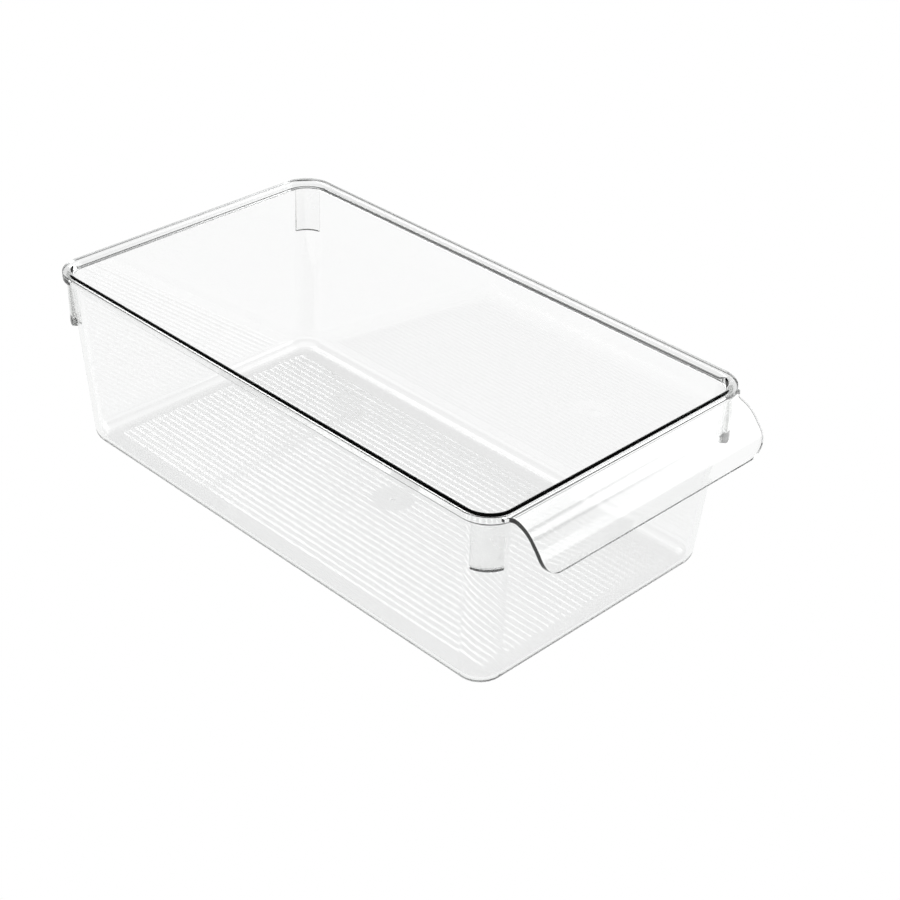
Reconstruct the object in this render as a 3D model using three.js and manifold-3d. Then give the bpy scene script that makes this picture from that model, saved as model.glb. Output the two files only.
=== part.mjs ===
// A clear plastic fridge bin: an open tub with drafted walls, a solid rim, a lug under each
// rim corner, a ribbed floor, and a pull handle that curls down from the front rim.
// Millimetres, +Z up, X across the bin, Y along it, handle towards -Y.
// The origin is under the middle of the whole length, on the surface the bin stands on.
import * as THREE from "three";
import { mergeVertices } from "three/addons/utils/BufferGeometryUtils.js";
import Module from "manifold-3d";

// ---- driving dimensions ----
const OVERALL_LENGTH = 292.1;
const OVERALL_WIDTH = 152.4;
const OVERALL_HEIGHT = 88.9;

const RIM_HEIGHT = 3.9;
const RIM_CORNER_RADIUS = 14.1;
const RIM_OVERHANG = 2.6;
const RIM_EDGE_BREAK = 0.7;

const WALL = 1.9;
const WALL_CORNER_RADIUS = 12.1;
const SIDE_INSET = 8.0;
const FRONT_INSET = 9.2;
const BACK_INSET = 6.3;
const BASE_FILLET = 7.0;

const FLOOR = 2.4;
const FLOOR_FILLET = 4.6;
const RIB_PITCH = 3.36;
const RIB_COUNT = 33;
const RIB_HEIGHT = 0.3;
const RIB_WIDTH = 1.8;
const RIB_CREST = 0.8;
const RIB_MARGIN = 9.5;

const GATE_Y = -6.5;
const GATE_DISC_RADIUS = 8.5;
const GATE_CLEARANCE = 0.4;
const GATE_NUB_RADIUS = 1.6;
const GATE_NUB_HEIGHT = 0.6;

const LUG_HEIGHT = 22.0;
const LUG_INSET = 1.8;
const LUG_GAP = 0.3;
const LUG_ARC = (64 * Math.PI) / 180;

const HANDLE_THICKNESS = 2.2;
const HANDLE_HALF_WIDTH = 64.9;
const HANDLE_TOP_DROP = RIM_EDGE_BREAK;
const HANDLE_CORNER_RADIUS = 9.8;
const HANDLE_BENDS = [
  { radius: 15.1, degrees: 51 },
  { straight: 3.9 },
  { radius: 16.5, degrees: 32 },
  { straight: 2.7 },
];

// Planes where the moulding is divided into its named features.
const CORNER_CUT_X = 55.5;
const CORNER_CUT_FRONT = -115.0;
const CORNER_CUT_BACK = 118.0;
const FLOOR_CUT_X = 60.5;
const FLOOR_CUT_FRONT = -120.0;
const FLOOR_CUT_BACK = 123.5;
const RIM_CUT_X = 62.0;
const RIM_CUT_Y = 122.5;

// ---- values worked out from them ----
const HALF_WIDTH = OVERALL_WIDTH / 2;
const RIM_UNDERSIDE = OVERALL_HEIGHT - RIM_HEIGHT;
const FAR = 400;
const ARC_STEPS = 8;
const BEND_STEPS = 6;
const COLOUR = 0xeef4f3;

const wasm = await Module();
wasm.setup();

// ---- helpers ----
function toSolid(geometry) {
  const bare = geometry.clone();
  bare.deleteAttribute("normal");
  bare.deleteAttribute("uv");
  const merged = mergeVertices(bare, 1e-5);
  const corners = merged.index.array;
  const triangles = [];
  for (let i = 0; i < corners.length; i += 3) {
    const [a, b, c] = corners.slice(i, i + 3);
    if (a !== b && b !== c && c !== a) triangles.push(a, b, c);
  }
  return new wasm.Manifold(
    new wasm.Mesh({
      numProp: 3,
      vertProperties: new Float32Array(merged.attributes.position.array),
      triVerts: new Uint32Array(triangles),
    })
  );
}

function toMesh(name, solid) {
  const { vertProperties, triVerts } = solid.getMesh();
  const geometry = new THREE.BufferGeometry();
  geometry.setAttribute("position", new THREE.BufferAttribute(vertProperties, 3));
  geometry.setIndex(new THREE.BufferAttribute(triVerts, 1));
  geometry.computeVertexNormals();
  const material = new THREE.MeshStandardMaterial({
    color: COLOUR,
    roughness: 0.05,
    metalness: 0,
    transparent: true,
    opacity: 0.3,
  });
  const mesh = new THREE.Mesh(geometry, material);
  mesh.name = name;
  return mesh;
}

function block(x0, x1, y0, y1, z0 = -FAR, z1 = FAR) {
  const box = new THREE.BoxGeometry(x1 - x0, y1 - y0, z1 - z0);
  box.translate((x0 + x1) / 2, (y0 + y1) / 2, (z0 + z1) / 2);
  return toSolid(box);
}

// A level rounded rectangle, counter-clockwise seen from above.
function roundedLoop({ halfWidth, front, back, radius, z }) {
  const centres = [
    [halfWidth - radius, back - radius],
    [-halfWidth + radius, back - radius],
    [-halfWidth + radius, front + radius],
    [halfWidth - radius, front + radius],
  ];
  const loop = [];
  centres.forEach(([x, y], corner) => {
    for (let step = 0; step <= ARC_STEPS; step += 1) {
      const angle = (corner + step / ARC_STEPS) * (Math.PI / 2);
      loop.push(new THREE.Vector3(x + radius * Math.cos(angle), y + radius * Math.sin(angle), z));
    }
  });
  return loop;
}

// Skins a stack of equal loops. A ring joins its last loop to its first; a stack is capped.
function skinLoops(loops, ring) {
  const count = loops[0].length;
  const positions = loops.flat().flatMap((point) => point.toArray());
  const index = [];
  const bands = ring ? loops.length : loops.length - 1;
  for (let band = 0; band < bands; band += 1) {
    const low = band * count;
    const high = ((band + 1) % loops.length) * count;
    for (let i = 0; i < count; i += 1) {
      const next = (i + 1) % count;
      index.push(low + i, low + next, high + next, low + i, high + next, high + i);
    }
  }
  if (!ring) {
    const flat = loops[0].map((point) => new THREE.Vector2(point.x, point.y));
    const faces = THREE.ShapeUtils.triangulateShape(flat, []);
    const last = (loops.length - 1) * count;
    faces.forEach(([a, b, c]) => index.push(c, b, a, last + a, last + b, last + c));
  }
  const geometry = new THREE.BufferGeometry();
  geometry.setAttribute("position", new THREE.Float32BufferAttribute(positions, 3));
  geometry.setIndex(index);
  return toSolid(geometry);
}

// ---- handle profile: [reach, height] from the handle's root, "offset" below its top face ----
function handleProfile(offset) {
  const points = [];
  let reach = 0;
  let height = 0;
  let angle = 0;
  const put = () => points.push([reach - offset * Math.sin(angle), height - offset * Math.cos(angle)]);
  const advance = (length) => {
    reach += length * Math.cos(angle);
    height -= length * Math.sin(angle);
  };
  put();
  HANDLE_BENDS.forEach(({ radius, degrees, straight }) => {
    if (straight) {
      advance(straight);
      put();
      return;
    }
    const half = (degrees * Math.PI) / 360 / BEND_STEPS;
    for (let step = 0; step < BEND_STEPS; step += 1) {
      angle += half;
      advance(2 * radius * Math.sin(half));
      angle += half;
      put();
    }
  });
  return points;
}

// The overall length is the rim's length and the handle's reach.
const HANDLE_REACH = Math.max(...handleProfile(0).map(([reach]) => reach));
const RIM_LENGTH = OVERALL_LENGTH - HANDLE_REACH;
const HALF_RIM = RIM_LENGTH / 2;

// ---- tub ----
// The wall's outer face at height z, moved inwards by "inward" all round.
function wallLoop(z, inward) {
  const share = 1 - z / OVERALL_HEIGHT;
  const inset = (base) => RIM_OVERHANG + (base - RIM_OVERHANG) * share + inward;
  return roundedLoop({
    halfWidth: HALF_WIDTH - inset(SIDE_INSET),
    front: -HALF_RIM + inset(FRONT_INSET),
    back: HALF_RIM - inset(BACK_INSET),
    radius: WALL_CORNER_RADIUS - inward,
    z,
  });
}

function filletLoops(z, radius, inward, steps) {
  const loops = [];
  for (let step = 0; step <= steps; step += 1) {
    const angle = (step / steps) * (Math.PI / 2);
    loops.push(wallLoop(z + radius * (1 - Math.cos(angle)), inward + radius * (1 - Math.sin(angle))));
  }
  return loops;
}

function tubShell() {
  const outside = filletLoops(0, BASE_FILLET, 0, 5);
  const inside = filletLoops(FLOOR, FLOOR_FILLET, WALL, 4).reverse();
  return skinLoops(
    [...outside, wallLoop(RIM_UNDERSIDE, 0), wallLoop(RIM_UNDERSIDE, WALL), ...inside],
    false
  );
}

// ---- rim ----
// A solid bead. Its outer face overhangs the wall and its inner face carries on the wall's.
function rimRing() {
  const outerLoop = (inset, z) =>
    roundedLoop({
      halfWidth: HALF_WIDTH - inset,
      front: -HALF_RIM + inset,
      back: HALF_RIM - inset,
      radius: RIM_CORNER_RADIUS - inset,
      z,
    });
  return skinLoops(
    [
      outerLoop(RIM_EDGE_BREAK, RIM_UNDERSIDE),
      outerLoop(0, RIM_UNDERSIDE + RIM_EDGE_BREAK),
      outerLoop(0, OVERALL_HEIGHT - RIM_EDGE_BREAK),
      outerLoop(RIM_EDGE_BREAK, OVERALL_HEIGHT),
      outerLoop(RIM_OVERHANG + WALL - RIM_EDGE_BREAK, OVERALL_HEIGHT),
      wallLoop(OVERALL_HEIGHT - RIM_EDGE_BREAK, WALL),
      wallLoop(RIM_UNDERSIDE, WALL),
    ],
    true
  );
}

// ---- floor ribs: one comb of low ridges, cut away round the gate disc ----
function ribComb(front, back) {
  const root = FLOOR - 1;
  const crest = FLOOR + RIB_HEIGHT;
  const outline = new THREE.Shape();
  const firstX = -((RIB_COUNT - 1) / 2) * RIB_PITCH;
  outline.moveTo(firstX - RIB_PITCH / 2, root);
  for (let rib = 0; rib < RIB_COUNT; rib += 1) {
    const x = firstX + rib * RIB_PITCH;
    outline.lineTo(x - RIB_WIDTH / 2, FLOOR - 0.01);
    outline.lineTo(x - RIB_CREST / 2, crest);
    outline.lineTo(x + RIB_CREST / 2, crest);
    outline.lineTo(x + RIB_WIDTH / 2, FLOOR - 0.01);
  }
  outline.lineTo(-firstX + RIB_PITCH / 2, root);
  const comb = new THREE.ExtrudeGeometry(outline, { depth: back - front, bevelEnabled: false, steps: 1 });
  comb.rotateX(Math.PI / 2);
  comb.translate(0, back, 0);
  return toSolid(comb);
}

function gateRound(radius, low, high) {
  const disc = new THREE.CylinderGeometry(radius, radius, high - low, 48);
  disc.rotateX(Math.PI / 2);
  disc.translate(0, GATE_Y, (low + high) / 2);
  return toSolid(disc);
}

function floorPanel(shell, region) {
  const front = -HALF_RIM + FRONT_INSET + RIB_MARGIN;
  const back = HALF_RIM - BACK_INSET - RIB_MARGIN;
  const hole = gateRound(GATE_DISC_RADIUS + GATE_CLEARANCE, 0, FLOOR + 2);
  return shell.intersect(region).add(ribComb(front, back).subtract(hole));
}

function gateDisc() {
  const top = FLOOR + RIB_HEIGHT;
  const profile = [
    [0, FLOOR],
    [GATE_DISC_RADIUS, FLOOR],
    [GATE_DISC_RADIUS, top],
    [GATE_NUB_RADIUS, top],
    [GATE_NUB_RADIUS * 0.7, top + GATE_NUB_HEIGHT],
    [0, top + GATE_NUB_HEIGHT],
  ].map(([x, y]) => new THREE.Vector2(x, y));
  const disc = new THREE.LatheGeometry(profile, 48);
  disc.rotateX(Math.PI / 2);
  disc.translate(0, GATE_Y, 0);
  return toSolid(disc);
}

// ---- corner lugs: upright under the rim, proud of the drafted wall ----
function lugBlank() {
  const bottom = RIM_UNDERSIDE - LUG_HEIGHT;
  const upright = (z) =>
    roundedLoop({
      halfWidth: HALF_WIDTH - LUG_INSET,
      front: -HALF_RIM + LUG_INSET,
      back: HALF_RIM - LUG_INSET,
      radius: RIM_CORNER_RADIUS - LUG_INSET,
      z,
    });
  const outside = skinLoops([upright(bottom), upright(RIM_UNDERSIDE)], false);
  const clearance = skinLoops(
    [wallLoop(bottom - 5, -LUG_GAP), wallLoop(RIM_UNDERSIDE + 2, -LUG_GAP)],
    false
  );
  return outside.subtract(clearance);
}

function lugSector(sideX, sideY) {
  const centreX = sideX * (HALF_WIDTH - RIM_CORNER_RADIUS);
  const centreY = sideY * (HALF_RIM - RIM_CORNER_RADIUS);
  const middle = Math.atan2(sideY, sideX);
  const length = 3 * RIM_CORNER_RADIUS;
  const edge = (turn) => [
    centreX + length * Math.cos(middle + turn),
    centreY + length * Math.sin(middle + turn),
  ];
  const outline = new THREE.Shape();
  outline.moveTo(centreX, centreY);
  outline.lineTo(...edge(-LUG_ARC / 2));
  outline.lineTo(...edge(LUG_ARC / 2));
  return toSolid(new THREE.ExtrudeGeometry(outline, { depth: OVERALL_HEIGHT, bevelEnabled: false }));
}

// ---- pull handle ----
function pullHandle() {
  const top = handleProfile(0);
  const under = handleProfile(HANDLE_THICKNESS).reverse();
  const startZ = OVERALL_HEIGHT - HANDLE_TOP_DROP;
  const around = [...top, ...under].map(([reach, height]) => new THREE.Vector2(reach, height));
  const section = new THREE.Shape(around);
  const sheet = new THREE.ExtrudeGeometry(section, { depth: 2 * HANDLE_HALF_WIDTH, bevelEnabled: false });
  const across = new THREE.Matrix4().makeBasis(
    new THREE.Vector3(0, -1, 0),
    new THREE.Vector3(0, 0, 1),
    new THREE.Vector3(-1, 0, 0)
  );
  sheet.applyMatrix4(across);
  sheet.translate(HANDLE_HALF_WIDTH, -HALF_RIM, startZ);

  const lowest = startZ + Math.min(...under.map(([, height]) => height));
  const turn = HANDLE_HALF_WIDTH - HANDLE_CORNER_RADIUS;
  const outline = new THREE.Shape();
  outline.moveTo(HANDLE_HALF_WIDTH, OVERALL_HEIGHT);
  outline.lineTo(-HANDLE_HALF_WIDTH, OVERALL_HEIGHT);
  outline.absarc(-turn, lowest + HANDLE_CORNER_RADIUS, HANDLE_CORNER_RADIUS, Math.PI, 1.5 * Math.PI);
  outline.absarc(turn, lowest + HANDLE_CORNER_RADIUS, HANDLE_CORNER_RADIUS, 1.5 * Math.PI, 2 * Math.PI);
  const front = new THREE.ExtrudeGeometry(outline, {
    depth: FAR,
    bevelEnabled: false,
    curveSegments: ARC_STEPS / 2,
  });
  front.rotateX(Math.PI / 2);
  return toSolid(sheet).intersect(toSolid(front));
}

// ---- the bin ----
const bin = new THREE.Group();
bin.position.y = HANDLE_REACH / 2;
const add = (name, solid) => bin.add(toMesh(name, solid));

const shell = tubShell();
const floorRegion = block(-FLOOR_CUT_X, FLOOR_CUT_X, FLOOR_CUT_FRONT, FLOOR_CUT_BACK);
const sides = { left: -1, right: 1 };
const ends = { front: -1, back: 1 };

add("floor_panel", floorPanel(shell, floorRegion));
add("gate_disc", gateDisc());

const walls = shell.subtract(floorRegion);
add("front_wall", walls.intersect(block(-CORNER_CUT_X, CORNER_CUT_X, -FAR, 0)));
add("back_wall", walls.intersect(block(-CORNER_CUT_X, CORNER_CUT_X, 0, FAR)));
add("left_wall", walls.intersect(block(-FAR, 0, CORNER_CUT_FRONT, CORNER_CUT_BACK)));
add("right_wall", walls.intersect(block(0, FAR, CORNER_CUT_FRONT, CORNER_CUT_BACK)));

const rim = rimRing();
add("front_rim", rim.intersect(block(-RIM_CUT_X, RIM_CUT_X, -FAR, 0)));
add("back_rim", rim.intersect(block(-RIM_CUT_X, RIM_CUT_X, 0, FAR)));
add("left_rim", rim.intersect(block(-FAR, 0, -RIM_CUT_Y, RIM_CUT_Y)));
add("right_rim", rim.intersect(block(0, FAR, -RIM_CUT_Y, RIM_CUT_Y)));

const lugs = lugBlank();
Object.entries(ends).forEach(([end, sideY]) => {
  Object.entries(sides).forEach(([side, sideX]) => {
    const cornerY = sideY < 0 ? CORNER_CUT_FRONT : CORNER_CUT_BACK;
    const quarter = (x, y) => {
      const [left, right] = [x, sideX * FAR].sort((a, b) => a - b);
      const [front, back] = [y, sideY * FAR].sort((a, b) => a - b);
      return block(left, right, front, back);
    };
    add(`${end}_${side}_corner`, walls.intersect(quarter(sideX * CORNER_CUT_X, cornerY)));
    add(`${end}_${side}_rim_bend`, rim.intersect(quarter(sideX * RIM_CUT_X, sideY * RIM_CUT_Y)));
    add(`${end}_${side}_lug`, lugs.intersect(lugSector(sideX, sideY)));
  });
});

add("pull_handle", pullHandle());

export default bin;
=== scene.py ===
import math

import bmesh
import bpy
from mathutils import Matrix, Vector


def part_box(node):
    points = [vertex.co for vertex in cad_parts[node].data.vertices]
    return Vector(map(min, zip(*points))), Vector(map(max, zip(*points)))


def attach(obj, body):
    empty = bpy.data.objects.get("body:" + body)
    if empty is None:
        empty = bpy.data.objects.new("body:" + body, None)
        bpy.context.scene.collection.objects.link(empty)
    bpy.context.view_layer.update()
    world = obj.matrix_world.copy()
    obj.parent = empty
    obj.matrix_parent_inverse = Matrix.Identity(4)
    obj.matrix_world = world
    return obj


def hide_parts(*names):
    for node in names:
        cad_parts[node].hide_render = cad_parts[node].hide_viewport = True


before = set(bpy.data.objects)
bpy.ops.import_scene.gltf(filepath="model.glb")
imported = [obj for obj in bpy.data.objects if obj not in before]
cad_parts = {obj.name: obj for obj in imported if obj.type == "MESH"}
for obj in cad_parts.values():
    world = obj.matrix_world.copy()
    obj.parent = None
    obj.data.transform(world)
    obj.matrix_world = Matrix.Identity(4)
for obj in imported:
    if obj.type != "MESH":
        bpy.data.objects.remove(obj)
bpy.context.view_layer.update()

MM = 0.001

# ---- sizes read from the frame, in metres ----
RIM_LOW, RIM_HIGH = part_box("left_rim")
HALF_WIDTH = -RIM_LOW.x
HEIGHT = RIM_HIGH.z
RIM_UNDERSIDE = RIM_LOW.z
RIM_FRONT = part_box("front_rim")[0].y
RIM_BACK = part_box("back_rim")[1].y
HANDLE_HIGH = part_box("pull_handle")[1]
HANDLE_HALF_WIDTH = HANDLE_HIGH.x
HANDLE_TOP = HANDLE_HIGH.z
LUG_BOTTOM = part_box("front_left_lug")[0].z
GATE_LOW, GATE_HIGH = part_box("gate_disc")
GATE_CENTRE = Vector(((GATE_LOW.x + GATE_HIGH.x) / 2, (GATE_LOW.y + GATE_HIGH.y) / 2))
GATE_RADIUS = (GATE_HIGH.x - GATE_LOW.x) / 2
FLOOR_TOP = GATE_LOW.z

# ---- rim, walls and base, in metres ----
RIM_CORNER_RADIUS = 14.1 * MM
RIM_OVERHANG = 2.6 * MM
RIM_TOP_ROUND = 0.3 * MM
RIM_INNER_ROUND = 2.3 * MM
RIM_UNDER_ROUND = 0.8 * MM
RIM_ROOT_FILLET = 0.6 * MM
WALL = 1.9 * MM
WALL_CORNER_RADIUS = 12.1 * MM
SIDE_INSET = 8.0 * MM
FRONT_INSET = 9.2 * MM
BACK_INSET = 6.3 * MM
BASE_FILLET = 7.0 * MM
FLOOR_FILLET = 4.6 * MM
CORNER_STEPS = 24
FILLET_STEPS = 10
RIM_TOP_STEPS = 8
RIM_INNER_STEPS = 6
RIM_UNDER_STEPS = 5
RIM_ROOT_STEPS = 4

# ---- ribbed floor, in metres ----
RIB_PITCH = 3.36 * MM
RIB_COUNT = 33
RIB_HEIGHT = 0.30 * MM
RIB_MARGIN = 9.5 * MM
RIB_RUN_OUT = 2.5 * MM
RIB_RUN_OUT_ROWS = 4
COLUMNS_PER_RIB = 8
FINE_ROW_STEP = 1.0 * MM
FINE_ROWS_REACH = 14.0 * MM
COARSE_ROW_EVERY = 12
GATE_EDGE = 1.2 * MM
GATE_PAD_HEIGHT = 0.9 * RIB_HEIGHT
GATE_NUB_RADIUS = 2.2 * MM
GATE_NUB_HEIGHT = 0.55 * MM

# ---- pull handle, in metres ----
HANDLE_THICKNESS = 2.2 * MM
HANDLE_CORNER_RADIUS = 9.8 * MM
HANDLE_ROOT = 1.6 * MM
HANDLE_FLARE = 3.5 * MM
HANDLE_EDGE_ROUND = 0.35 * MM
HANDLE_ROOT_RISE = 0.65 * MM
HANDLE_ROOT_LENGTH = 4.4 * MM
# Each bend is a radius and a turn in degrees, or a straight's length and 0.
HANDLE_BENDS = ((15.1 * MM, 51.0), (3.9 * MM, 0.0), (16.5 * MM, 32.0), (2.7 * MM, 0.0))
HANDLE_ROWS = 30
HANDLE_COLUMNS = 40
HANDLE_FLARE_STEPS = 12
HANDLE_CORNER_STEPS = 16
HANDLE_EDGE_STEPS = 4

# ---- corner lugs, in metres ----
LUG_INSET = 1.8 * MM
LUG_GAP = 0.12 * MM
LUG_ARC = math.radians(64)
LUG_LEVELS = 8
LUG_STEPS = 20
LUG_BEVEL = 0.8 * MM
LUG_BEVEL_SEGMENTS = 3
LUG_BEVEL_ANGLE = math.radians(40)

# ---- shading ----
SHARP_ANGLE = math.radians(38)
FLAT_FACE_WEIGHT = 90

# ---- clear plastic ----
# Tint is the light that passes. Haze is the roughness of the clearest and of the haziest spots.
ABSORPTION = 17.0
PLASTIC_TINT = (0.10, 0.16, 0.13)
PLASTIC_INDEX = 1.55
PLASTIC_HAZE = (0.0, 0.03)
LUG_TINT = (0.10, 0.14, 0.09)
LUG_INDEX = 1.2
LUG_HAZE = (0.18, 0.30)
HAZE_SCALE = 140
HAZE_DETAIL = 3
HAZE_NOISE_SPAN = (0.35, 0.75)

# ---- camera ----
CAMERA_AZIMUTH = math.radians(-45.04)
CAMERA_ELEVATION = math.radians(31.69)
CAMERA_ROLL = math.radians(1.45)
CAMERA_DISTANCE = 0.8497
CAMERA_TARGET = Vector((0.0156, -0.0106, 0.0398))
CAMERA_SENSOR = 36
CAMERA_LENS = 77.8
CAMERA_SHIFT = (0.0095, -0.0268)
CAMERA_NEAR = 0.01
CAMERA_FAR = 50

# ---- studio ----
STUDIO_HALF_SIZE = 12.0
STUDIO_FLOOR_DROP = 0.5 * MM
STUDIO_FLOOR_ROUGHNESS = 0.9
# The sky's brightness at each height, where height is the upward part of the direction.
SKY_BANDS = ((0.25, 1.0), (0.38, 0.02), (0.66, 0.02), (0.85, 1.0))
# Each soft box: azimuth and elevation in degrees, half width, half height and edge as tangents,
# brightness. A brightness near 0 is a dark card.
SOFT_BOXES = (
    (-26, 32, 0.25, 0.22, 0.05, 3.0),
    (4, 48, 0.28, 0.16, 0.05, 2.6),
    (-42, 13, 0.26, 0.20, 0.05, 2.6),
    (76, 49, 0.20, 0.16, 0.06, 4.5),
    (45, 7, 0.45, 0.22, 0.05, 0.05),
)
AHEAD = 0.001
LIGHT_BOUNCES = 32
REFLECTION_BOUNCES = 16


# ---- camera ----
def make_camera():
    data = bpy.data.cameras.new("camera")
    camera = bpy.data.objects.new("camera", data)
    bpy.context.scene.collection.objects.link(camera)
    data.sensor_width = CAMERA_SENSOR
    data.lens = CAMERA_LENS
    data.shift_x, data.shift_y = CAMERA_SHIFT
    data.clip_start = CAMERA_NEAR
    data.clip_end = CAMERA_FAR
    turn, rise = CAMERA_AZIMUTH, CAMERA_ELEVATION
    away = Vector((
        math.sin(turn) * math.cos(rise),
        -math.cos(turn) * math.cos(rise),
        math.sin(rise),
    ))
    level = Vector((math.cos(turn), math.sin(turn), 0))
    upright = away.cross(level)
    right = level * math.cos(CAMERA_ROLL) + upright * math.sin(CAMERA_ROLL)
    up = away.cross(right)
    place = CAMERA_TARGET + away * CAMERA_DISTANCE
    camera.matrix_world = Matrix((
        (right.x, up.x, away.x, place.x),
        (right.y, up.y, away.y, place.y),
        (right.z, up.z, away.z, place.z),
        (0, 0, 0, 1),
    ))
    bpy.context.scene.camera = camera


# ---- mesh helpers ----
def rounded_loop(half_width, front, back, radius, z):
    """A level rounded rectangle, counter-clockwise from above."""
    centres = (
        (half_width - radius, back - radius),
        (radius - half_width, back - radius),
        (radius - half_width, front + radius),
        (half_width - radius, front + radius),
    )
    loop = []
    for corner, (x, y) in enumerate(centres):
        for step in range(CORNER_STEPS + 1):
            angle = (corner + step / CORNER_STEPS) * math.pi / 2
            loop.append(Vector((x + radius * math.cos(angle), y + radius * math.sin(angle), z)))
    return loop


def rim_loop(inset, z):
    """The rim's outside at height z, moved inwards."""
    return rounded_loop(
        HALF_WIDTH - inset, RIM_FRONT + inset, RIM_BACK - inset, RIM_CORNER_RADIUS - inset, z
    )


def wall_insets(z):
    """How far the drafted wall's outer face is inside the rim's: side, front and back."""
    share = 1 - z / HEIGHT
    at_base = (SIDE_INSET, FRONT_INSET, BACK_INSET)
    return [RIM_OVERHANG + (inset - RIM_OVERHANG) * share for inset in at_base]


def wall_loop(inward, z):
    """The drafted wall's outer face at height z, moved inwards."""
    side, front, back = (inset + inward for inset in wall_insets(z))
    return rounded_loop(
        HALF_WIDTH - side, RIM_FRONT + front, RIM_BACK - back, WALL_CORNER_RADIUS - inward, z
    )


def arc(start, stop, steps):
    """Angles from start to stop, in degrees, as (cos, sin) pairs."""
    angles = (math.radians(start + (stop - start) * i / steps) for i in range(steps + 1))
    return [(math.cos(a), math.sin(a)) for a in angles]


def ease(share):
    """A smooth step from 0 to 1."""
    share = max(0.0, min(1.0, share))
    return share * share * (3 - 2 * share)


def new_object(name, mesh_builder):
    mesh = bpy.data.meshes.new(name)
    mesh_builder.to_mesh(mesh)
    mesh_builder.free()
    obj = bpy.data.objects.new(name, mesh)
    bpy.context.scene.collection.objects.link(obj)
    return obj


def add_grid(bm, points):
    """Vertices for rows of points."""
    return [[bm.verts.new(p) for p in row] for row in points]


def skin(bm, rings, closed=True):
    """Quads between rows of vertices; a closed row joins its last vertex to its first."""
    for low, high in zip(rings, rings[1:]):
        count = len(low)
        for i in range(count if closed else count - 1):
            j = (i + 1) % count
            bm.faces.new((low[i], low[j], high[j], high[i]))


def apply_modifiers(obj):
    evaluated = obj.evaluated_get(bpy.context.evaluated_depsgraph_get())
    mesh = bpy.data.meshes.new_from_object(evaluated)
    obj.modifiers.clear()
    old = obj.data
    obj.data = mesh
    bpy.data.meshes.remove(old)


def finish_shading(obj):
    """Smooth shading that stays flat on flat faces and breaks at real edges."""
    mesh = obj.data
    mesh.shade_smooth()
    mesh.set_sharp_from_angle(angle=SHARP_ANGLE)
    weighted = obj.modifiers.new("weighted_normals", "WEIGHTED_NORMAL")
    weighted.mode = "FACE_AREA"
    weighted.weight = FLAT_FACE_WEIGHT
    weighted.keep_sharp = True


# ---- tub: floor, walls and rim as one closed skin ----
def tub_rings():
    """Loops from the underside, up the outside, over the rim and down the inside."""
    rings = []
    for c, s in arc(270, 360, FILLET_STEPS):
        rings.append(wall_loop(BASE_FILLET * (1 - c), BASE_FILLET * (1 + s)))
    for c, s in arc(180, 90, RIM_ROOT_STEPS):
        z = RIM_UNDERSIDE - RIM_ROOT_FILLET * (1 - s)
        rings.append(wall_loop(-RIM_ROOT_FILLET * (1 + c), z))
    for c, s in arc(270, 360, RIM_UNDER_STEPS):
        z = RIM_UNDERSIDE + RIM_UNDER_ROUND * (1 + s)
        rings.append(rim_loop(RIM_UNDER_ROUND * (1 - c), z))
    for c, s in arc(0, 90, RIM_TOP_STEPS):
        z = HEIGHT - RIM_TOP_ROUND * (1 - s)
        rings.append(rim_loop(RIM_TOP_ROUND * (1 - c), z))
    for c, s in arc(90, 180, RIM_INNER_STEPS):
        z = HEIGHT - RIM_INNER_ROUND * (1 - s)
        rings.append(wall_loop(WALL - RIM_INNER_ROUND * (1 + c), z))
    for c, s in arc(0, -90, FILLET_STEPS):
        z = FLOOR_TOP + FLOOR_FILLET * (1 + s)
        rings.append(wall_loop(WALL + FLOOR_FILLET * (1 - c), z))
    return rings


def build_tub():
    bm = bmesh.new()
    rings = add_grid(bm, tub_rings())
    skin(bm, rings)
    bm.faces.new(list(reversed(rings[0])))
    ribbed_floor(bm, rings[-1])
    bmesh.ops.recalc_face_normals(bm, faces=bm.faces)
    return new_object("clear_moulding", bm)


def rib_rows(front, back):
    """The grid's rows: close together where the ribs run out and round the gate disc."""
    steps = [RIB_RUN_OUT * i / RIB_RUN_OUT_ROWS for i in range(RIB_RUN_OUT_ROWS)]
    rows = [front + step for step in steps]
    start = front + RIB_RUN_OUT
    span = back - front - 2 * RIB_RUN_OUT
    count = round(span / FINE_ROW_STEP)
    for i in range(count + 1):
        y = start + span * i / count
        near_gate = abs(y - GATE_CENTRE.y) < FINE_ROWS_REACH
        if near_gate or i % COARSE_ROW_EVERY == 0 or i == count:
            rows.append(y)
    rows += [back - step for step in reversed(steps)]
    return rows


def floor_height(x, y, front, back):
    """Lengthwise ribs that run out at their ends, the gate's plain disc, and the nub on it."""
    wave = 0.5 + 0.5 * math.cos(2 * math.pi * x / RIB_PITCH)
    ribs = RIB_HEIGHT * wave * ease(min(y - front, back - y) / RIB_RUN_OUT)
    away = (Vector((x, y)) - GATE_CENTRE).length
    ribbed = ease((away - GATE_RADIUS) / GATE_EDGE)
    nub = GATE_NUB_HEIGHT * ease((GATE_NUB_RADIUS - away) / GATE_NUB_RADIUS)
    return ribs * ribbed + GATE_PAD_HEIGHT * (1 - ribbed) + nub


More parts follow.
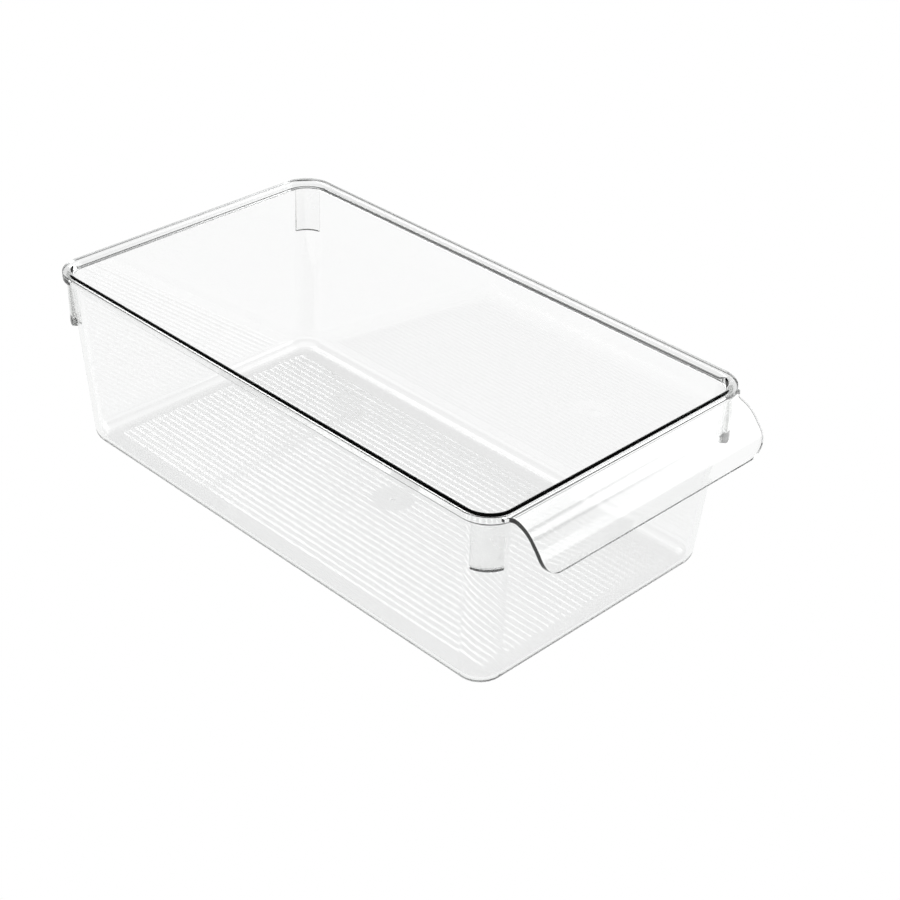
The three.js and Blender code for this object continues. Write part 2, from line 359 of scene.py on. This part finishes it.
def ribbed_floor(bm, border):
    """The inside of the floor: a flat margin round a fine grid that carries the ribs."""
    half_zone = RIB_COUNT * RIB_PITCH / 2
    front = RIM_FRONT + FRONT_INSET + RIB_MARGIN
    back = RIM_BACK - BACK_INSET - RIB_MARGIN
    columns = RIB_COUNT * COLUMNS_PER_RIB
    across = [-half_zone + 2 * half_zone * i / columns for i in range(columns + 1)]
    grid = add_grid(bm, (
        [(x, y, FLOOR_TOP + floor_height(x, y, front, back)) for x in across]
        for y in rib_rows(front, back)
    ))
    skin(bm, grid, closed=False)
    edge = [*grid[0], *[row[-1] for row in grid[1:]], *reversed(grid[-1][:-1])]
    edge += [row[0] for row in reversed(grid[1:-1])]
    margin = []
    for loop in (border, edge):
        for a, b in zip(loop, [*loop[1:], loop[0]]):
            margin.append(bm.edges.get((a, b)) or bm.edges.new((a, b)))
    bmesh.ops.triangle_fill(
        bm, edges=margin, use_beauty=True, use_dissolve=False, normal=(0, 0, 1)
    )


# ---- pull handle ----
def bend_length(size, turn):
    return size * math.radians(turn) if turn else size


def handle_length():
    return sum(bend_length(size, turn) for size, turn in HANDLE_BENDS)


def handle_point(x, along, lift):
    """A point on the curled sheet: along its profile from the root, lifted off its top face."""
    reach, drop, angle, left = 0.0, 0.0, 0.0, along
    for size, turn in HANDLE_BENDS:
        if left <= 0:
            break
        part = min(left, bend_length(size, turn))
        if turn:
            end = angle + part / size
            reach += size * (math.sin(end) - math.sin(angle))
            drop += size * (math.cos(angle) - math.cos(end))
            angle = end
        else:
            reach += part * math.cos(angle)
            drop += part * math.sin(angle)
        left -= part
    if along < 0:
        reach = along
    y = RIM_FRONT - reach - lift * math.sin(angle)
    root = (1 - min(max(along, 0.0) / HANDLE_ROOT_LENGTH, 1.0)) ** 2
    z = HANDLE_TOP - drop + lift * math.cos(angle) + HANDLE_ROOT_RISE * root
    return Vector((x, y, z))


def handle_stations():
    """Distances along the sheet, closer together at the root flare and round the free corners."""
    corner = handle_length() - HANDLE_CORNER_RADIUS
    quarter = math.pi / 2
    stations = [-HANDLE_ROOT]
    for i in range(HANDLE_FLARE_STEPS + 1):
        stations.append(HANDLE_FLARE * (1 - math.cos(quarter * i / HANDLE_FLARE_STEPS)))
    for i in range(1, HANDLE_ROWS + 1):
        stations.append(HANDLE_FLARE + (corner - HANDLE_FLARE) * i / HANDLE_ROWS)
    for i in range(1, HANDLE_CORNER_STEPS + 1):
        stations.append(corner + HANDLE_CORNER_RADIUS * math.sin(quarter * i / HANDLE_CORNER_STEPS))
    return stations


def handle_layer(inset, lift):
    """A grid over the sheet's outline, moved in from its free edges and lifted off its top."""
    corner = handle_length() - HANDLE_CORNER_RADIUS
    radius = HANDLE_CORNER_RADIUS - inset
    layer = []
    for station in handle_stations():
        half = HANDLE_HALF_WIDTH - inset
        along = station
        if station < HANDLE_FLARE:
            reach = HANDLE_FLARE - max(station, 0.0)
            flare = HANDLE_FLARE + inset
            half = HANDLE_HALF_WIDTH + HANDLE_FLARE - math.sqrt(flare * flare - reach * reach)
        elif station > corner:
            share = min(1.0, (station - corner) / HANDLE_CORNER_RADIUS)
            along = corner + radius * share
            half -= radius * (1 - math.sqrt(1 - share * share))
        across = (half * (2 * i / HANDLE_COLUMNS - 1) for i in range(HANDLE_COLUMNS + 1))
        layer.append([handle_point(x, along, lift) for x in across])
    return layer


def free_edge(grid):
    """The grid's outline down its left side, along its far end and back up its right side."""
    left = [row[0] for row in grid]
    right = [row[-1] for row in grid]
    return left + grid[-1][1:-1] + right[::-1]


def build_handle():
    bm = bmesh.new()
    edge = HANDLE_EDGE_ROUND
    layers = []
    for c, s in arc(90, 0, HANDLE_EDGE_STEPS):
        layers.append(handle_layer(edge * (1 - c), -edge * (1 - s)))
    for c, s in arc(0, -90, HANDLE_EDGE_STEPS):
        layers.append(handle_layer(edge * (1 - c), edge * (1 + s) - HANDLE_THICKNESS))
    top = add_grid(bm, layers[0])
    bottom = add_grid(bm, layers[-1])
    skin(bm, top, closed=False)
    skin(bm, bottom, closed=False)
    between = add_grid(bm, (free_edge(layer) for layer in layers[1:-1]))
    skin(bm, [free_edge(top), *between, free_edge(bottom)], closed=False)
    root = top[0] + [row[-1] for row in between] + bottom[0][::-1]
    root += [row[0] for row in reversed(between)]
    bm.faces.new(root)
    bmesh.ops.recalc_face_normals(bm, faces=bm.faces)
    return new_object("handle_blank", bm)


def join_handle(tub, handle):
    union = tub.modifiers.new("handle", "BOOLEAN")
    union.operation = "UNION"
    union.solver = "EXACT"
    union.object = handle
    apply_modifiers(tub)
    bpy.data.objects.remove(handle)


# ---- corner lugs ----
def build_lug(name, side_x, side_y):
    """An upright pad under a rim corner that fills out to a vertical face."""
    rim_end = RIM_FRONT if side_y < 0 else RIM_BACK
    outer_centre = Vector((
        side_x * (HALF_WIDTH - RIM_CORNER_RADIUS),
        rim_end - side_y * RIM_CORNER_RADIUS,
    ))
    outer_radius = RIM_CORNER_RADIUS - LUG_INSET
    inner_radius = WALL_CORNER_RADIUS + LUG_GAP
    top = RIM_UNDERSIDE - LUG_GAP
    middle = math.atan2(side_y, side_x)
    outer, inner = [], []
    for level in range(LUG_LEVELS + 1):
        z = LUG_BOTTOM + (top - LUG_BOTTOM) * level / LUG_LEVELS
        side_inset, front_inset, back_inset = wall_insets(z)
        end_inset = front_inset if side_y < 0 else back_inset
        inner_centre = Vector((
            side_x * (HALF_WIDTH - side_inset - WALL_CORNER_RADIUS),
            rim_end - side_y * (end_inset + WALL_CORNER_RADIUS),
        ))
        outer_row, inner_row = [], []
        for step in range(LUG_STEPS + 1):
            angle = middle + LUG_ARC * (step / LUG_STEPS - 0.5)
            ray = Vector((math.cos(angle), math.sin(angle)))
            outer_row.append((*(outer_centre + ray * outer_radius), z))
            inner_row.append((*(inner_centre + ray * inner_radius), z))
        outer.append(outer_row)
        inner.append(inner_row)
    bm = bmesh.new()
    outer = add_grid(bm, outer)
    inner = add_grid(bm, inner)
    skin(bm, outer, closed=False)
    skin(bm, inner, closed=False)
    for end in (0, -1):
        skin(bm, [outer[end], inner[end]], closed=False)
        skin(bm, [[row[end] for row in outer], [row[end] for row in inner]], closed=False)
    bmesh.ops.recalc_face_normals(bm, faces=bm.faces)
    return new_object(name, bm)


def round_edges(lug):
    bevel = lug.modifiers.new("edge_round", "BEVEL")
    bevel.width = LUG_BEVEL
    bevel.segments = LUG_BEVEL_SEGMENTS
    bevel.limit_method = "ANGLE"
    bevel.angle_limit = LUG_BEVEL_ANGLE
    apply_modifiers(lug)


# ---- materials ----
def clear_plastic(name, tint, index, haze):
    """Plastic that light bends through and that tints with depth, with a faint uneven haze."""
    material = bpy.data.materials.new(name)
    material.use_nodes = True
    nodes, links = material.node_tree.nodes, material.node_tree.links
    shader = nodes["Principled BSDF"]
    shader.inputs["Base Color"].default_value = (1, 1, 1, 1)
    shader.inputs["Transmission Weight"].default_value = 1.0
    shader.inputs["IOR"].default_value = index
    depth = nodes.new("ShaderNodeVolumeAbsorption")
    depth.inputs["Color"].default_value = (*tint, 1)
    depth.inputs["Density"].default_value = ABSORPTION
    links.new(depth.outputs["Volume"], nodes["Material Output"].inputs["Volume"])
    place = nodes.new("ShaderNodeTexCoord")
    cloud = nodes.new("ShaderNodeTexNoise")
    cloud.inputs["Scale"].default_value = HAZE_SCALE
    cloud.inputs["Detail"].default_value = HAZE_DETAIL
    links.new(place.outputs["Object"], cloud.inputs["Vector"])
    spread = nodes.new("ShaderNodeMapRange")
    for side, values in (("From", HAZE_NOISE_SPAN), ("To", haze)):
        spread.inputs[f"{side} Min"].default_value = values[0]
        spread.inputs[f"{side} Max"].default_value = values[1]
    links.new(cloud.outputs["Fac"], spread.inputs["Value"])
    links.new(spread.outputs["Result"], shader.inputs["Roughness"])
    return material


def paint(obj, material):
    obj.data.materials.clear()
    obj.data.materials.append(material)


# ---- stage and light ----
def make_stage():
    """A plain white floor that shines by itself, so it stays even."""
    bm = bmesh.new()
    size = STUDIO_HALF_SIZE
    corners = ((-size, -size), (size, -size), (size, size), (-size, size))
    bm.faces.new([bm.verts.new((x, y, 0)) for x, y in corners])
    floor = new_object("studio_floor", bm)
    floor.location.z = -STUDIO_FLOOR_DROP
    material = bpy.data.materials.new("pale_floor")
    material.use_nodes = True
    shader = material.node_tree.nodes["Principled BSDF"]
    shader.inputs["Base Color"].default_value = (0.0, 0.0, 0.0, 1)
    shader.inputs["Roughness"].default_value = STUDIO_FLOOR_ROUGHNESS
    shader.inputs["Specular IOR Level"].default_value = 0.0
    shader.inputs["Emission Color"].default_value = (1, 1, 1, 1)
    shader.inputs["Emission Strength"].default_value = 1.0
    paint(floor, material)


def sky_math(tree, operation, *values):
    node = tree.nodes.new("ShaderNodeMath")
    node.operation = operation
    for socket, value in zip(node.inputs, values):
        if isinstance(value, (int, float)):
            socket.default_value = value
        else:
            tree.links.new(value, socket)
    return node.outputs["Value"]


def sky_part(tree, direction, axis):
    """How much of the direction points along one axis."""
    node = tree.nodes.new("ShaderNodeVectorMath")
    node.operation = "DOT_PRODUCT"
    tree.links.new(direction, node.inputs[0])
    node.inputs[1].default_value = axis
    return node.outputs["Value"]


def sky_fade(tree, value, half_size, edge):
    """1 inside a half size, 0 outside it, with a soft edge between."""
    node = tree.nodes.new("ShaderNodeMapRange")
    node.interpolation_type = "SMOOTHSTEP"
    tree.links.new(value, node.inputs["Value"])
    node.inputs["From Min"].default_value = half_size - edge
    node.inputs["From Max"].default_value = half_size + edge
    node.inputs["To Min"].default_value = 1.0
    node.inputs["To Max"].default_value = 0.0
    return node.outputs["Result"]


def soft_box(tree, direction, azimuth, elevation, half_width, half_height, edge):
    """The share of a soft rectangle seen in a direction."""
    turn, rise = math.radians(azimuth), math.radians(elevation)
    forward = Vector((
        math.cos(turn) * math.cos(rise),
        math.sin(turn) * math.cos(rise),
        math.sin(rise),
    ))
    side = Vector((-math.sin(turn), math.cos(turn), 0))
    ahead = sky_part(tree, direction, forward)
    depth = sky_math(tree, "MAXIMUM", ahead, AHEAD)
    share = sky_math(tree, "GREATER_THAN", ahead, AHEAD)
    for axis, half_size in ((side, half_width), (forward.cross(side), half_height)):
        offset = sky_math(tree, "ABSOLUTE", sky_part(tree, direction, axis))
        slope = sky_math(tree, "DIVIDE", offset, depth)
        share = sky_math(tree, "MULTIPLY", share, sky_fade(tree, slope, half_size, edge))
    return share


def make_light():
    """A pale room with a dark band above the horizon, soft boxes and a dark card."""
    world = bpy.data.worlds.new("studio")
    bpy.context.scene.world = world
    world.use_nodes = True
    tree = world.node_tree
    direction = tree.nodes.new("ShaderNodeTexCoord").outputs["Generated"]
    ramp = tree.nodes.new("ShaderNodeValToRGB")
    tree.links.new(sky_part(tree, direction, (0, 0, 1)), ramp.inputs["Fac"])
    stops = ramp.color_ramp.elements
    stops[0].position, stops[1].position = SKY_BANDS[0][0], SKY_BANDS[1][0]
    for _ in SKY_BANDS[2:]:
        stops.new(1.0)
    for stop, (height, level) in zip(stops, SKY_BANDS):
        stop.position = height
        stop.color = (level, level, level, 1)
    sky = ramp.outputs["Color"]
    for *shape, brightness in SOFT_BOXES:
        share = soft_box(tree, direction, *shape)
        kept = sky_math(tree, "MULTIPLY", sky, sky_math(tree, "SUBTRACT", 1.0, share))
        sky = sky_math(tree, "MULTIPLY_ADD", share, brightness, kept)
    background = tree.nodes["Background"]
    tree.links.new(sky, background.inputs["Color"])
    background.inputs["Strength"].default_value = 1.0


def set_look():
    """Plain colours, and enough bounces for light to cross every wall of the bin."""
    scene = bpy.context.scene
    scene.view_settings.view_transform = "Standard"
    scene.cycles.max_bounces = LIGHT_BOUNCES
    scene.cycles.transmission_bounces = LIGHT_BOUNCES
    scene.cycles.glossy_bounces = REFLECTION_BOUNCES


# ---- the object ----
make_camera()
make_stage()
make_light()
set_look()

tub = build_tub()
join_handle(tub, build_handle())
finish_shading(tub)
paint(tub, clear_plastic("clear_plastic", PLASTIC_TINT, PLASTIC_INDEX, PLASTIC_HAZE))
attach(tub, "root")
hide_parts(*[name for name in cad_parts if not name.endswith("_lug")])

lug_plastic = clear_plastic("clear_plastic_lug", LUG_TINT, LUG_INDEX, LUG_HAZE)
for end, side_y in (("front", -1), ("back", 1)):
    for side, side_x in (("left", -1), ("right", 1)):
        node = f"{end}_{side}_lug"
        lug = build_lug(f"clear_{node}", side_x, side_y)
        round_edges(lug)
        finish_shading(lug)
        paint(lug, lug_plastic)
        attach(lug, "root")
        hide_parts(node)
